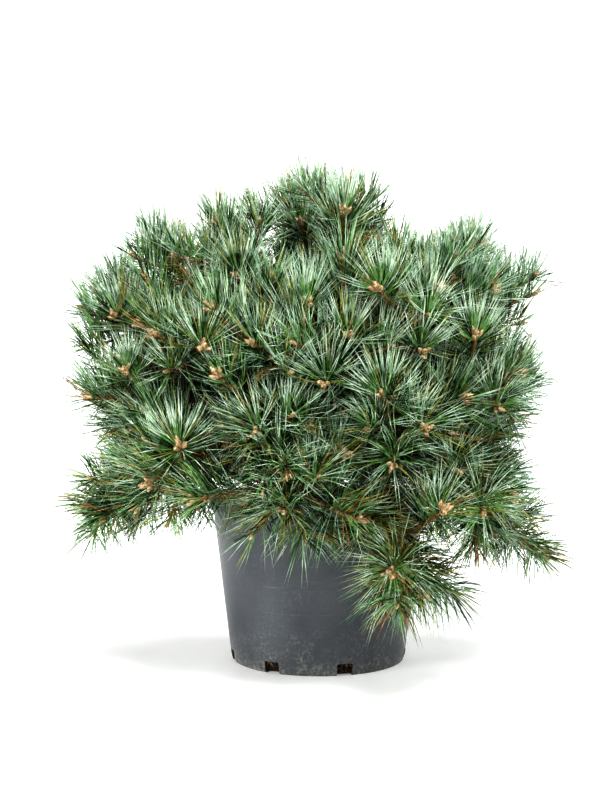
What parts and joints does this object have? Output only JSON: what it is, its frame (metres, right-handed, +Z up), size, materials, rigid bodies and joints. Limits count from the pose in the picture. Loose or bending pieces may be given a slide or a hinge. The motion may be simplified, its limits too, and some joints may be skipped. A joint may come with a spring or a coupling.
{
  "type": "potted pine",
  "caption": "Mounded, many-branched young pine with long blue-green needles, growing in a round charcoal nursery pot with drain slots round its foot",
  "frame": {"origin": "centre of the pot's flat underside, on the ground", "axes": "+Z up along the pot's axis, -Y towards the front of the plant, +X to the right as seen from the front"},
  "size_m": [0.5905, 0.6043, 0.563],
  "materials": {
    "pot_plastic": "semi-matte, a little dusty towards the foot",
    "potting_soil": "dark, crumbly peat and bark",
    "bark": "rough orange-brown bark",
    "needles": "satin blue-green needles"
  },
  "bodies": {
    "root": {"arm_right": "needles", "belly_left": "needles", "bib": "needles", "bough_arm_right": "bark", "bough_belly_left": "bark", "bough_bib": "bark", "bough_breast": "bark", "bough_breast_left": "bark", "bough_breast_right": "bark", "bough_flank_back": "bark", "bough_flank_back_left": "bark", "bough_flank_back_right": "bark", "bough_flank_front_left": "bark", "bough_flank_left": "bark", "bough_flank_right": "bark", "bough_hip_back": "bark", "bough_hip_front_left": "bark", "bough_hip_left": "bark", "bough_hip_right": "bark", "bough_hip_side_right": "bark", "bough_nose": "bark", "bough_skirt_back": "bark", "bough_skirt_back_left": "bark", "bough_skirt_back_right": "bark", "bough_skirt_front": "bark", "bough_skirt_left": "bark", "bough_skirt_right": "bark", "breast": "needles", "breast_left": "needles", "breast_right": "needles", "crown_back": "needles", "crown_front": "needles", "flank_back": "needles", "flank_back_left": "needles", "flank_back_right": "needles", "flank_front_left": "needles", "flank_left": "needles", "flank_right": "needles", "hip_back": "needles", "hip_front_left": "needles", "hip_left": "needles", "hip_right": "needles", "hip_side_left": "needles", "hip_side_right": "needles", "leader": "needles", "nose": "needles", "pot": "pot_plastic", "shoulder_back_left": "needles", "shoulder_back_right": "needles", "shoulder_front_left": "needles", "shoulder_left": "needles", "shoulder_right": "needles", "skirt_back": "needles", "skirt_back_left": "needles", "skirt_back_right": "needles", "skirt_front": "needles", "skirt_left": "needles", "skirt_right": "needles", "soil": "potting_soil", "trunk": "bark"}
  },
  "joints": []
}
